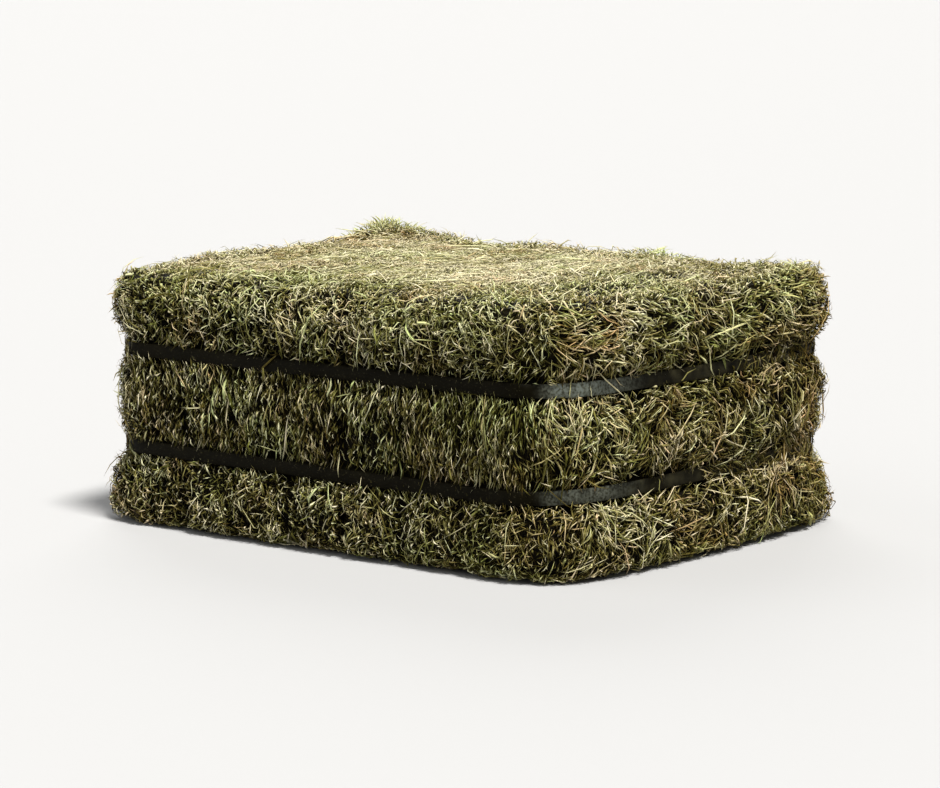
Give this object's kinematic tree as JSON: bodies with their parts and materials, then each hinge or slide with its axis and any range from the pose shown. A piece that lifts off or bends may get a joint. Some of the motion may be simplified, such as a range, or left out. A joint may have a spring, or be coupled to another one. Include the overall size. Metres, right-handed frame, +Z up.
{
  "type": "square hay bale",
  "caption": "Compressed rectangular bale of dried grass, made of pressed flakes side by side and cinched by flat plastic straps that sink into its sides.",
  "frame": {"origin": "middle of the underside, on the surface the bale rests on", "axes": "+X along the bale, the way the flakes stack; +Y across it; +Z up, the way it lies in the picture"},
  "size_m": [0.7399, 0.5877, 0.3213],
  "materials": {
    "hay": "dry matt stems and leaves, straw to olive green",
    "strap": "embossed satin black strapping with a film of dust"
  },
  "bodies": {
    "root": {"flake_01": "hay", "flake_02": "hay", "flake_03": "hay", "flake_04": "hay", "flake_05": "hay", "flake_06": "hay", "flake_07": "hay", "flake_08": "hay", "flake_09": "hay", "strap_lower": "strap", "strap_upper": "strap"}
  },
  "joints": []
}
